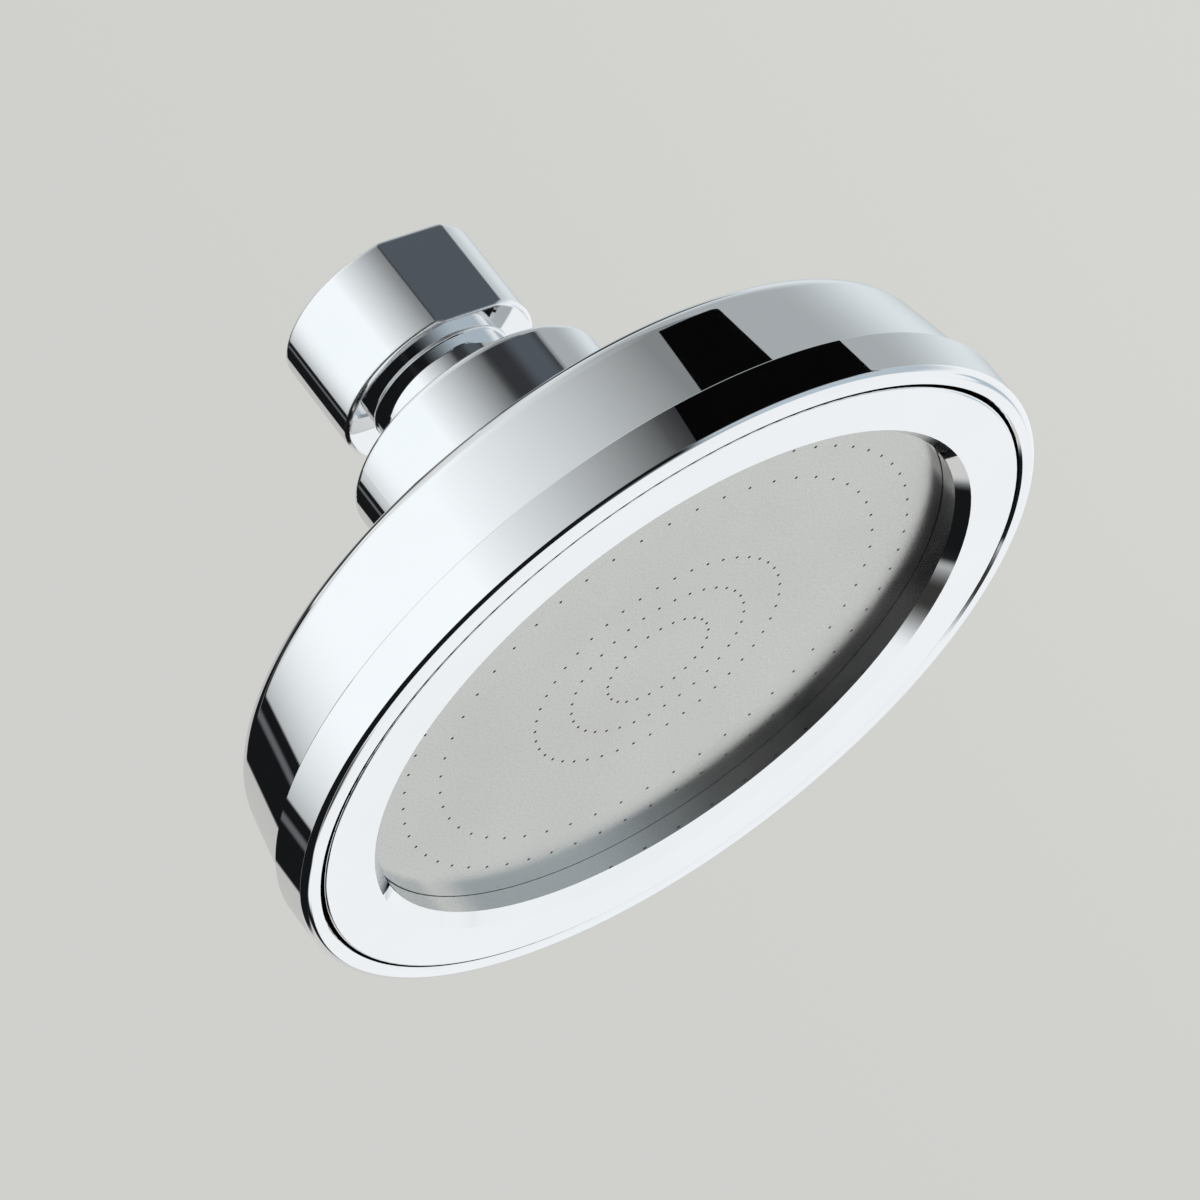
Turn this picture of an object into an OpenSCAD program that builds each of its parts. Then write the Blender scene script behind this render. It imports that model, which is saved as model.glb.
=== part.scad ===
// Fixed shower head with a ball joint. Millimetres, +Z up.
// The origin is the centre of the front face, which looks down; the inlet points up.

/* [Head] */
// Largest diameter, over the lower band
head_d = 101.5; // [92:0.5:130]
// Height from the front face to the collar's top
head_h = 41.6; // [41:0.1:56]
// Height of the lower band, up to the step
band_h = 6.2; // [5.5:0.1:8]
// Width of the step between the band and the upper tier
step_w = 0.75; // [0.3:0.05:1.5]
// How far the upper tier draws in for each millimetre of height
tier_draft = 0.194; // [0.05:0.001:0.35]
// Radius of the shoulder behind the upper tier
shoulder_r = 3.4; // [3:0.1:9]
// Radius of the sphere that the back is a cap of
back_r = 135; // [130:1:200]
// Height of the flat land that the collar stands on
land_z = 26; // [25:0.1:27]
// Wall of the shell
wall = 2.4; // [2:0.1:2.8]
// Radius of the outer corner of the lip
lip_r = 1.0; // [0.5:0.1:1.5]
// Depth of the pilot holes for the diffuser's screws
pilot_depth = 8; // [6:0.5:9]

/* [Front ring] */
// Diameter of the opening that shows the plate
opening_d = 80; // [70:0.5:82]
// Depth of the plate below the front
recess = 3.8; // [3.2:0.1:4.6]
// Width of the bevel round the opening
ring_bevel = 1.35; // [0.5:0.05:2]
// Width of the lip round the ring
lip_w = 2.4; // [2:0.1:3]
// Gap between the ring and the lip
ring_gap = 0.35; // [0.2:0.05:0.6]
// Wall of the ring's threaded skirt
skirt_w = 2.4; // [1.8:0.1:3]
// Length of the skirt behind the ring's flange
skirt_h = 5.7; // [5:0.1:6.5]

/* [Face plate] */
// Thickness of the plate
plate_t = 1; // [0.6:0.1:1.5]
// Diameter of each spray hole
spray_d = 0.4; // [0.3:0.05:0.8]
// Radius of the innermost ring of holes
ring1_r = 7; // [6:0.5:8]
// Step from one ring of holes to the next
ring_step = 5; // [4:0.25:5.25]
// Radius of the fourth ring, outside the plain band
ring4_r = 30; // [28:0.5:32]
// Turn of the line that every ring of holes starts on
spray_turn = 28; // [0:1:71]
// Thickness of the gasket behind the plate
gasket_t = 1.5; // [1.2:0.1:2]
// Width of the gasket
gasket_w = 3; // [2:0.1:4]
// Thickness of the diffuser plate
diffuser_t = 2; // [1.6:0.1:3]

/* [Ball joint] */
// Diameter of the ball
ball_d = 24; // [22:0.1:29]
// Diameter of the neck
neck_d = 18.2; // [14:0.1:18.6]
// Water way through the stem
way_d = 8; // [6:0.5:9]
// Wall of the collar round the threaded stud
collar_wall = 1.55; // [1.2:0.05:3]
// Thickness of the collar's top over the upper ring
collar_top_t = 3.7; // [3.3:0.1:5]
// Radius of the collar's top edge
collar_edge_r = 1; // [0.3:0.1:2]
// Height of the upper ring's top face over the ball's centre
grip_h = 4.3; // [3.6:0.1:4.8]
// Thickness of the gasket under the ball
ball_gasket_t = 0.85; // [0.7:0.05:1.2]
// Wall of the threaded stud round the seats
stud_wall = 1.4; // [1.2:0.1:2]
// Thickness of the floor under the seats
well_floor = 2.5; // [1.8:0.1:3.5]
// Clearance between a face that slides and its seat
slide_gap = 0.05; // [0.03:0.01:0.1]
// Clearance between screwed faces
screw_gap = 0.1; // [0.05:0.05:0.2]

/* [Inlet] */
// Distance from the collar's top to the nut's end face
neck_show = 7.1; // [6:0.1:12]
// Length of the nut
nut_len = 13.2; // [12:0.1:18]
// Diameter of the nut
nut_d = 26.2; // [25:0.1:30]
// Chamfer round the nut's end face
nut_chamfer = 0.4; // [0.2:0.1:0.8]
// Radius of the edge round the nut's mouth
nut_edge_r = 0.3; // [0.2:0.1:0.8]
// Distance across the nut's two wrench flats
nut_flats = 24.4; // [23.6:0.1:26]
// Diameter over the inlet thread
thread_d = 21; // [20.9:0.05:21.2]
// Depth of the threaded bore
thread_depth = 9; // [8:0.5:9.5]
// Depth of the relief round the inlet washer, outside the thread
relief_depth = 0.4; // [0.2:0.1:0.6]
// Diameter of the shank that joins the stem to the nut
shank_d = 15; // [14.6:0.1:15.6]
// Thickness of the inlet washer
washer_t = 2; // [1.5:0.1:2.5]
// Diameter of the flow regulator
regulator_d = 11; // [10:0.1:11.2]
// Height of the flow regulator
regulator_h = 5.2; // [4.5:0.1:6]

/* [Hidden] */
$fn = 96;
e = 0.01;
// radii and heights of the outside
head_r = head_d / 2;
tier_r0 = head_r - step_w;
collar_z1 = head_h;
ball_z = collar_z1 - collar_top_t - grip_h;
nut_z0 = collar_z1 + neck_show;
nut_z1 = nut_z0 + nut_len;
// ring, plate and what lies behind it
lip_in_r = head_r - lip_w;
ring_r = lip_in_r - ring_gap;
skirt_r = lip_in_r - 1.85;
bore_r = skirt_r + screw_gap;
skirt_in_r = skirt_r - skirt_w;
plate_r = skirt_in_r - 0.5;
plate_z = recess;
gasket_z = plate_z + plate_t;
diffuser_z = gasket_z + gasket_t;
rib_z = diffuser_z + diffuser_t;
rib_in_r = plate_r - 2.2;
thread_z1 = plate_z + skirt_h + 1.5;
// diffuser and its screws
boss_ring_r = 28;
boss_r = 3.2;
screw_r = 1.45;
pilot_r = 1.5;
screw_head_r = 2.8;
screw_head_h = 1.3;
head_recess = 0.8;
screw_len = 7;
// ball joint
ball_r = ball_d / 2;
neck_r = neck_d / 2;
way_r = way_d / 2;
liner_in_r = ball_r + slide_gap;
liner_r = liner_in_r + ball_gasket_t;
pocket_r = liner_r + slide_gap;
seat_r = pocket_r + 1.05;
well_r = seat_r + slide_gap;
stud_r = well_r + stud_wall;
collar_in_r = stud_r + screw_gap;
collar_r = collar_in_r + collar_wall;
seat_top_z = ball_z + 0.2;
seat_z0 = ball_z - pocket_r - 0.25;
grip_z = ball_z + grip_h;
stud_z1 = grip_z - 0.5;
well_out_r = stud_r + 1;
well_z0 = min(seat_z0 - well_floor, land_z - 3);
outlet_r = 6;
mouth_r = sqrt(ball_r * ball_r - grip_h * grip_h) + 0.4;
mouth_top_r = mouth_r + 1.6;
seal_r = 0.8;
seal_ring_r = (outlet_r + well_r) / 2;
land_r = collar_r + 0.5;
// inlet
nut_r = nut_d / 2;
thread_r = thread_d / 2;
floor_z = nut_z1 - thread_depth;
shank_r = shank_d / 2;
stem_seal_r = 0.6;
reg_r = regulator_d / 2;
reg_pocket_r = reg_r + screw_gap;
reg_z0 = floor_z - regulator_h - 0.2;
screen_t = 0.4;
screen_r = thread_r - 0.6;
washer_z = floor_z + screen_t;
washer_in_r = 7.2;
relief_z1 = washer_z + washer_t + 0.2;

// radius of the upper tier's wall at height z
function tier_r(z) = tier_r0 - tier_draft * (z - band_h);
function back_c() = land_z - sqrt(back_r * back_r - collar_r * collar_r);

// A solid of revolution from an outline in r and z, cut off at the axis.
module turned() {
  rotate_extrude() intersection() {
    children();
    translate([0, -20]) square([head_d, 200]);
  }
}

// Centre of the shoulder's arc: in from the tier's wall and from the back by the same radius.
function shoulder_c() =
  let (n = sqrt(1 + tier_draft * tier_draft),
       k = tier_r(0) - shoulder_r * n,
       zc = back_c(),
       ro = back_r - shoulder_r,
       b = tier_draft * k + zc,
       z = (b + sqrt(b * b - n * n * (k * k + zc * zc - ro * ro))) / (n * n))
  [k - tier_draft * z, z];

// Filled outline of the tier and the back, set in from the outside by an inset.
module tier_outline(inset, z0) {
  n = sqrt(1 + tier_draft * tier_draft);
  c = shoulder_c();
  fr = shoulder_r - inset;
  w = [c[0] + fr / n, c[1] + fr * tier_draft / n];
  d = sqrt(c[0] * c[0] + pow(c[1] - back_c(), 2));
  polygon([[0, z0], [w[0] + tier_draft * (w[1] - z0), z0], w, c, [0, c[1]]]);
  translate(c) circle(fr);
  intersection() {
    translate([0, back_c()]) circle(back_r - inset, $fn = 360);
    translate([0, c[1]]) square([c[0] + fr * c[0] / d, back_r]);
  }
}

module shell_outline() {
  difference() {
    union() {
      tier_outline(0, band_h - e);
      // band with a rounded lip and a fine edge at the step
      translate([0, lip_r]) square([head_r, band_h - lip_r - 0.15]);
      square([head_r - lip_r, band_h]);
      translate([head_r - lip_r, lip_r]) circle(lip_r);
      polygon([[0, band_h - 0.15], [head_r, band_h - 0.15], [head_r - 0.15, band_h], [0, band_h]]);
      // threaded stud that the collar screws on
      square([stud_r, stud_z1 - 0.4]);
      square([stud_r - 0.4, stud_z1]);
      polygon([[0, land_z - 3], [land_r + 1, land_z - 3], [land_r, land_z], [0, land_z]]);
    }
    // flat land under the collar
    translate([stud_r, land_z]) square([collar_r + 0.2 - stud_r, 4]);
    // seats of the ring and of its thread
    translate([-1, -1]) square([lip_in_r + 1, 1 + plate_z + 0.2]);
    polygon([[0, -e], [lip_in_r + 0.3, -e], [lip_in_r, 0.3], [0, 0.3]]);
    difference() {
      union() {
        tier_outline(wall, thread_z1 - e);
        square([bore_r, thread_z1]);
      }
      // well that holds the ball joint, and the rib that clamps the plate
      square([well_out_r, 200]);
      translate([rib_in_r, rib_z]) square([2.2, 40]);
    }
    translate([-1, seat_z0]) square([well_r + 1, 60]);
    translate([-1, -1]) square([outlet_r + 1, 60]);
    translate([-1, -1]) square([well_out_r + 1, 1 + well_z0]);
  }
}

module shell() {
  color("silver") difference() {
    union() {
      turned() shell_outline();
      // webs under the back, and posts for the diffuser's screws
      intersection() {
        union() {
          for (i = [0 : 7]) rotate(i * 45 + 22.5)
            translate([stud_r, -0.9, well_z0]) cube([rib_in_r + 0.5 - stud_r, 1.8, 30]);
          for (i = [0 : 3]) rotate(i * 90)
            translate([boss_ring_r, 0, rib_z]) cylinder(h = 40, r = boss_r);
        }
        turned() tier_outline(wall / 2, plate_z);
      }
    }
    for (i = [0 : 3]) rotate(i * 90)
      translate([boss_ring_r, 0, rib_z - e]) cylinder(h = pilot_depth, r = pilot_r, $fn = 48);
  }
}

module front_ring() {
  color("gainsboro") turned() difference() {
    union() {
      translate([0, 0.3]) square([ring_r, plate_z - 0.3]);
      square([ring_r - 0.3, 1]);
      translate([ring_r - 0.3, 0.3]) circle(0.3);
      square([skirt_r, plate_z + skirt_h - 0.4]);
      square([skirt_r - 0.4, plate_z + skirt_h]);
    }
    translate([-1, -1]) square([opening_d / 2 + 1, 30]);
    translate([-1, plate_z]) square([skirt_in_r + 1, 30]);
    polygon([[0, -1], [opening_d / 2 + ring_bevel + 1, -1], [opening_d / 2, ring_bevel], [0, ring_bevel]]);
  }
}

// One ring of spray holes.
module spray_ring(r, count) {
  for (i = [0 : count - 1]) rotate(spray_turn + i * 360 / count)
    translate([r, 0, plate_z - 1]) cylinder(h = plate_t + 2, d = spray_d, $fn = 16);
}

module face_plate() {
  color("lightgrey") difference() {
    translate([0, 0, plate_z]) cylinder(h = plate_t, r = plate_r);
    spray_ring(ring1_r, 25);
    spray_ring(ring1_r + ring_step, 35);
    spray_ring(ring1_r + 2 * ring_step, 45);
    spray_ring(ring4_r, 50);
    spray_ring(ring4_r + ring_step, 60);
  }
}

module plate_gasket() {
  color("dimgray") turned() difference() {
    translate([plate_r - gasket_w, gasket_z]) square([gasket_w, gasket_t]);
    translate([plate_r - gasket_w, gasket_z + gasket_t / 2]) circle(gasket_t / 4, $fn = 48);
  }
}

module diffuser_plate() {
  color("whitesmoke") difference() {
    union() {
      translate([0, 0, diffuser_z]) cylinder(h = diffuser_t, r = plate_r);
      // ring that turns the stream from the outlet outwards
      translate([0, 0, rib_z - e]) difference() {
        cylinder(h = 3, r = outlet_r + 5);
        translate([0, 0, -1]) cylinder(h = 5, r = outlet_r + 3.4);
        for (i = [0 : 5]) rotate(i * 60) translate([0, -2, 0.8]) cube([20, 4, 5]);
      }
    }
    for (i = [0 : 11]) rotate(i * 30 + 15)
      translate([20, 0, diffuser_z - 1]) cylinder(h = diffuser_t + 2, d = 3.2, $fn = 48);
    for (i = [0 : 23]) rotate(i * 15 + 7.5)
      translate([35, 0, diffuser_z - 1]) cylinder(h = diffuser_t + 2, d = 3.2, $fn = 48);
    for (i = [0 : 3]) rotate(i * 90) translate([boss_ring_r, 0, 0]) {
      translate([0, 0, diffuser_z - 1]) cylinder(h = diffuser_t + 2, r = screw_r + 0.2, $fn = 48);
      translate([0, 0, diffuser_z - 1]) cylinder(h = 1 + head_recess, r = screw_head_r + 0.3, $fn = 48);
    }
  }
}

module diffuser_screw(i) {
  top = diffuser_z + head_recess;
  color("lightsteelblue") rotate(i * 90) translate([boss_ring_r, 0, 0]) difference() {
    union() {
      translate([0, 0, top - screw_head_h]) cylinder(h = screw_head_h, r = screw_head_r, $fn = 48);
      translate([0, 0, top - e]) cylinder(h = screw_len - 1 + e, r = screw_r, $fn = 48);
      translate([0, 0, top + screw_len - 1 - e]) cylinder(h = 1 + e, r1 = screw_r, r2 = 0.5, $fn = 48);
    }
    for (a = [0, 90]) rotate(a)
      translate([-1.6, -0.35, top - screw_head_h - 1]) cube([3.2, 0.7, 1.9]);
  }
}

module diffuser_screw_1() { diffuser_screw(0); }
module diffuser_screw_2() { diffuser_screw(1); }
module diffuser_screw_3() { diffuser_screw(2); }
module diffuser_screw_4() { diffuser_screw(3); }

module ball_collar() {
  color("darkgray") turned() difference() {
    union() {
      translate([0, land_z]) square([collar_r, collar_z1 - land_z - collar_edge_r]);
      translate([0, land_z]) square([collar_r - collar_edge_r, collar_z1 - land_z]);
      translate([collar_r - collar_edge_r, collar_z1 - collar_edge_r]) circle(collar_edge_r);
    }
    translate([-1, -1]) square([collar_in_r + 1, 1 + stud_z1 + 0.3]);
    translate([-1, -1]) square([well_r + 1, 1 + grip_z]);
    // flared mouth that the neck swings in
    polygon([[0, grip_z - 1], [mouth_r, grip_z - 1], [mouth_r, grip_z], [mouth_top_r, collar_z1 - 0.3],
             [mouth_top_r + 0.3, collar_z1], [mouth_top_r + 0.3, collar_z1 + 1], [0, collar_z1 + 1]]);
  }
}

module upper_ball_ring() {
  color("ivory") turned() difference() {
    translate([0, seat_top_z]) square([seat_r, grip_z - seat_top_z]);
    translate([0, ball_z]) circle(liner_in_r, $fn = 180);
    square([mouth_r, 200]);
  }
}

module lower_ball_seat() {
  color("beige") turned() difference() {
    translate([0, seat_z0]) square([seat_r, seat_top_z - seat_z0]);
    translate([0, ball_z]) circle(pocket_r, $fn = 180);
    translate([-1, 0]) square([outlet_r + 1, 200]);
    translate([-1, ball_z - e]) square([pocket_r + 1, 20]);
    // groove of the seal under the seat
    translate([seal_ring_r - 1, seat_z0 - 1]) square([2, 2.35]);
  }
}

module seat_o_ring() {
  color("black") rotate_extrude()
    translate([seal_ring_r, seat_z0 + seal_r * 0.8]) circle(seal_r * 0.8, $fn = 48);
}

// Spherical gasket that slides on the ball and in the lower seat.
module ball_gasket() {
  color("dimgray") turned() intersection() {
    difference() {
      translate([0, ball_z]) circle(liner_r, $fn = 180);
      translate([0, ball_z]) circle(liner_in_r, $fn = 180);
    }
    translate([outlet_r, ball_z - liner_r]) square([liner_r, liner_r * (1 - sin(20))]);
  }
}

module ball_stem() {
  foot = sqrt(ball_r * ball_r - pow(way_r + 1, 2));
  color("silver") turned() difference() {
    union() {
      intersection() {
        translate([0, ball_z]) circle(ball_r, $fn = 180);
        translate([0, ball_z - foot]) square([ball_d, ball_d + foot]);
      }
      translate([0, ball_z]) square([neck_r, nut_z0 - ball_z]);
      translate([0, ball_z]) square([shank_r, floor_z - ball_z]);
    }
    translate([-1, -1]) square([way_r + 1, 200]);
    translate([-1, reg_z0]) square([reg_pocket_r + 1, 60]);
  }
}

module stem_o_ring() {
  color("black") rotate_extrude()
    translate([shank_r + stem_seal_r, nut_z0 + stem_seal_r]) circle(stem_seal_r, $fn = 48);
}

module inlet_nut() {
  color("silver") difference() {
    turned() difference() {
      union() {
        translate([0, nut_z0 + nut_chamfer]) square([nut_r, nut_len - nut_chamfer - nut_edge_r]);
        translate([0, nut_z1 - 1]) square([nut_r - nut_edge_r, 1]);
        translate([nut_r - nut_edge_r, nut_z1 - nut_edge_r]) circle(nut_edge_r);
        polygon([[0, nut_z0], [nut_r - nut_chamfer, nut_z0], [nut_r, nut_z0 + nut_chamfer],
                 [0, nut_z0 + nut_chamfer]]);
      }
      translate([-1, floor_z]) square([thread_r + 1, 60]);
      // relief that keeps the washer in
      translate([-1, floor_z]) square([thread_r + relief_depth + 1, relief_z1 - floor_z]);
      square([shank_r + screw_gap / 2, 200]);
      // seat of the stem's seal
      translate([0, nut_z0 - 1]) square([shank_r + 2 * stem_seal_r + 0.1, 1 + 2 * stem_seal_r + 0.05]);
      polygon([[0, nut_z1 + e], [thread_r + 0.6, nut_z1 + e], [thread_r, nut_z1 - 0.6], [0, nut_z1 - 0.6]]);
    }
    for (s = [-1, 1]) translate([-nut_r, s > 0 ? nut_flats / 2 : -nut_flats / 2 - 10, nut_z0 - 1])
      cube([nut_d, 10, nut_len + 2]);
  }
}

module filter_screen() {
  color("lightgrey") difference() {
    translate([0, 0, floor_z]) cylinder(h = screen_t, r = screen_r);
    for (k = [0 : 4]) for (i = [0 : max(0, 6 * k - 1)]) rotate(k == 0 ? 0 : i * 60 / k)
      translate([k * 1.5, 0, floor_z - 1]) cylinder(h = 3, d = 0.9, $fn = 24);
  }
}

module inlet_washer() {
  color("dimgray") turned()
    translate([washer_in_r, washer_z]) square([thread_r + 0.1 - washer_in_r, washer_t]);
}

module flow_regulator() {
  color("orange") difference() {
    translate([0, 0, reg_z0]) cylinder(h = regulator_h, r = reg_r);
    translate([0, 0, reg_z0 + 1.4]) difference() {
      cylinder(h = regulator_h, r = reg_r - 1);
      translate([0, 0, -1]) cylinder(h = 1 + regulator_h - 1.8, r = 1.5, $fn = 48);
    }
    for (i = [0 : 7]) rotate(i * 45)
      translate([reg_r - 2.4, 0, reg_z0 - 1]) cylinder(h = 4, d = 1.2, $fn = 24);
  }
}

module regulator_o_ring() {
  color("black") rotate_extrude()
    translate([(reg_r - 1 + 1.5) / 2, reg_z0 + 1.4 + 1.2]) circle(1.2, $fn = 48);
}

inlet_nut();
inlet_washer();
filter_screen();
flow_regulator();
regulator_o_ring();
ball_stem();
stem_o_ring();
ball_gasket();
lower_ball_seat();
upper_ball_ring();
seat_o_ring();
ball_collar();
shell();
diffuser_plate();
diffuser_screw_1();
diffuser_screw_2();
diffuser_screw_3();
diffuser_screw_4();
plate_gasket();
face_plate();
front_ring();
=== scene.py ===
# A round fixed shower head: chromed shell, ring and spray plate on a ball joint
# with an inlet nut. The pieces follow in the order in which they go together.
import math

import bpy
from mathutils import Matrix, Vector


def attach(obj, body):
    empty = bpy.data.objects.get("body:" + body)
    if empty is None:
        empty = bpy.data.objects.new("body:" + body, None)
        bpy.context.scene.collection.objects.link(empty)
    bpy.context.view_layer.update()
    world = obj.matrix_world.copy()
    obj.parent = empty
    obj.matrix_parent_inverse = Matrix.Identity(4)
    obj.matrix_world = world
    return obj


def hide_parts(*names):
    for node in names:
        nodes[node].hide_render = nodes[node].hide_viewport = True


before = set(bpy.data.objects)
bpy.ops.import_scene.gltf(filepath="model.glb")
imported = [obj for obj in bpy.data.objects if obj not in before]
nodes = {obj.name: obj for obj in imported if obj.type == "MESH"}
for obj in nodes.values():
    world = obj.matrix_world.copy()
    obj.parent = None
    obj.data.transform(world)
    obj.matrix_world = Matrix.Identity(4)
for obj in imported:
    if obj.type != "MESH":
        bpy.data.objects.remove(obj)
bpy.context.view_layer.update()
scene = bpy.context.scene
scene.view_settings.view_transform = "Standard"

# Camera. The head is seen from below and in front of its face. The tilt, roll
# and distance were found from the circles of the face, the rim and the nut.
FOCAL_LENGTH_PX = 7463.4
PICTURE_PX = 1200.0
SENSOR_MM = 36.0
FACE_POINT = Vector((0.0, 0.0, 0.0038))
FACE_FROM_CAMERA = Vector((0.006651, 0.006890, 0.8550))
tilt = math.radians(66.127)
roll = math.radians(52.044)
spin = math.radians(141.2)
inward = Vector((math.sin(tilt) * math.cos(roll), math.sin(tilt) * math.sin(roll), -math.cos(tilt)))
sideways = Vector((math.sin(roll), -math.cos(roll), 0.0))
third = inward.cross(sideways)
part_x = math.cos(spin) * sideways + math.sin(spin) * third
part_y = math.sin(spin) * sideways - math.cos(spin) * third
part_to_camera = Matrix((part_x, part_y, -inward)).transposed()
camera_to_part = part_to_camera.transposed()
camera_place = -(camera_to_part @ (FACE_FROM_CAMERA - part_to_camera @ FACE_POINT))
camera_data = bpy.data.cameras.new("camera")
camera_data.sensor_width = SENSOR_MM
camera_data.lens = FOCAL_LENGTH_PX * SENSOR_MM / PICTURE_PX
camera_data.clip_start = 0.01
camera_data.clip_end = 50.0
camera = bpy.data.objects.new("camera", camera_data)
scene.collection.objects.link(camera)
camera_turn = camera_to_part @ Matrix.Diagonal((1.0, -1.0, -1.0))
camera.matrix_world = Matrix.Translation(camera_place) @ camera_turn.to_4x4()
scene.camera = camera

# Studio. Chrome shows nothing but the room, so the room is laid out as a
# photographer does it: a big softbox over the left side, grey and white sheets
# round the right and a dark gap behind the camera, all by direction.
BACKDROP = (0.630, 0.630, 0.612)
BACKDROP_RIGHT = (0.672, 0.668, 0.646)
AMBIENT = (0.78, 0.78, 0.78)
WHITE_SHEET = (0.955, 0.984, 1.004)
DARK_ROOM = (0.0080, 0.0090, 0.0100)
DIM_ROOM = (0.042, 0.041, 0.038)
SOFTBOX_TINT = (1.025, 1.077, 1.098)
RIGHT_SHEET_TINT = (0.93, 1.0, 1.03)
LEFT_SHEET = (0.545, 0.54, 0.525)
COOL_SHEET = (0.50, 0.58, 0.64)
OVERHEAD_GREY = (0.050, 0.052, 0.055)
OVERHEAD_SHEET = (0.76, 0.79, 0.80)
SLATE = (0.088, 0.102, 0.120)
SLATE_EDGE = (0.036, 0.038, 0.042)
STREAK = (0.125, 0.130, 0.140)
SIDE_GREY = (0.66, 0.66, 0.64)
world = bpy.data.worlds.new("studio")
scene.world = world
world.use_nodes = True
sky = world.node_tree
sky.nodes.clear()


def worked(tree, operation, *values):
    """One Math node: its values are numbers or sockets."""
    node = tree.nodes.new("ShaderNodeMath")
    node.operation = operation
    for socket, value in zip(node.inputs, values):
        if isinstance(value, (int, float)):
            socket.default_value = value
        else:
            tree.links.new(value, socket)
    return node.outputs[0]


def eased(tree, value, none_at, full_at):
    """0 up to one value and 1 from another, smooth between."""
    node = tree.nodes.new("ShaderNodeMapRange")
    node.interpolation_type = "SMOOTHSTEP"
    tree.links.new(value, node.inputs["Value"])
    node.inputs["From Min"].default_value = none_at
    node.inputs["From Max"].default_value = full_at
    return node.outputs[0]


def blended(tree, share, first, second):
    """A colour between two, which are colours or sockets."""
    node = tree.nodes.new("ShaderNodeMix")
    node.data_type = "RGBA"
    tree.links.new(share, node.inputs[0])
    for socket, colour in ((node.inputs[6], first), (node.inputs[7], second)):
        if isinstance(colour, tuple):
            socket.default_value = (*colour, 1.0)
        else:
            tree.links.new(colour, socket)
    return node.outputs[2]


def tinted(tree, tint, strength):
    """A tint times a strength."""
    node = tree.nodes.new("ShaderNodeVectorMath")
    node.operation = "SCALE"
    node.inputs[0].default_value = tint
    tree.links.new(strength, node.inputs["Scale"])
    return node.outputs[0]


direction = sky.nodes.new("ShaderNodeTexCoord").outputs["Generated"]
parts = sky.nodes.new("ShaderNodeSeparateXYZ")
sky.links.new(direction, parts.inputs[0])
azimuth = worked(sky, "DEGREES", worked(sky, "ARCTAN2", parts.outputs["Y"], parts.outputs["X"]))
elevation = worked(sky, "DEGREES", worked(sky, "ARCSINE", parts.outputs["Z"]))


def turned_from(centre):
    """Degrees round the axis from a direction, from -180 to 180."""
    return worked(sky, "WRAP", worked(sky, "SUBTRACT", azimuth, centre), 180.0, -180.0)


def sheet(behind, first, last, low, high, colour, side_soft=0.8, end_soft=1.0):
    """A sheet that spans azimuths and elevations, in front of what is behind it."""
    half = (last - first) / 2.0
    aside = worked(sky, "ABSOLUTE", turned_from(first + half))
    within = eased(sky, aside, half + side_soft, half - side_soft)
    above = eased(sky, elevation, low - end_soft, low + end_soft)
    below = eased(sky, elevation, high + end_soft, high - end_soft)
    share = worked(sky, "MULTIPLY", within, worked(sky, "MULTIPLY", above, below))
    return blended(sky, share, behind, colour)


# The softbox is brightest at azimuth 337. It fades to the right, sooner low
# down, and a little to the left.
from_brightest = turned_from(337.0)
fade_end = worked(sky, "MULTIPLY_ADD", worked(sky, "SUBTRACT", elevation, 24.0), 2.1, 117.0)
fade_right = worked(
    sky, "DIVIDE", worked(sky, "SUBTRACT", fade_end, from_brightest), worked(sky, "SUBTRACT", fade_end, 50.0)
)
to_left = worked(sky, "MINIMUM", from_brightest, 0.0)
fade_left = worked(sky, "MULTIPLY_ADD", worked(sky, "MULTIPLY", to_left, to_left), -0.00033, 1.0)
softbox_level = worked(sky, "MINIMUM", worked(sky, "MINIMUM", fade_right, fade_left), 1.0)
faintest = worked(sky, "MULTIPLY_ADD", eased(sky, elevation, 28.0, 40.0), 0.15, 0.09)
softbox_level = worked(sky, "MAXIMUM", softbox_level, faintest)
softbox = tinted(sky, SOFTBOX_TINT, softbox_level)
# The right sheet is brightest at azimuth 199.
right_hump = eased(sky, worked(sky, "ABSOLUTE", turned_from(199.0)), 40.0, 0.0)
right_sheet = tinted(sky, RIGHT_SHEET_TINT, worked(sky, "MULTIPLY_ADD", right_hump, 0.36, 0.45))

# Below: a cool sheet at the right, and a dark gap behind the camera.
room = sheet(WHITE_SHEET, 40.0, 172.0, -29.0, 22.0, COOL_SHEET, 10.0, 2.0)
room = sheet(room, 190.0, 223.0, -27.0, -20.5, COOL_SHEET, 4.0, 1.0)
room = sheet(room, 360.0, 445.0, -31.0, -14.0, DARK_ROOM, 37.0, 1.5)
room = sheet(room, 360.0, 452.0, -16.0, 22.0, DARK_ROOM, 6.0, 1.5)
room = sheet(room, 262.0, 390.0, -33.5, 22.0, DARK_ROOM, 5.0, 1.2)
room = sheet(room, 278.0, 322.0, -47.0, -34.0, DIM_ROOM, 9.0, 5.0)
room = sheet(room, 243.0, 266.0, -26.0, -16.0, DARK_ROOM, 2.0, 1.5)
room = sheet(room, 229.0, 262.0, -17.0, 22.0, SIDE_GREY, 2.5, 2.0)
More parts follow.
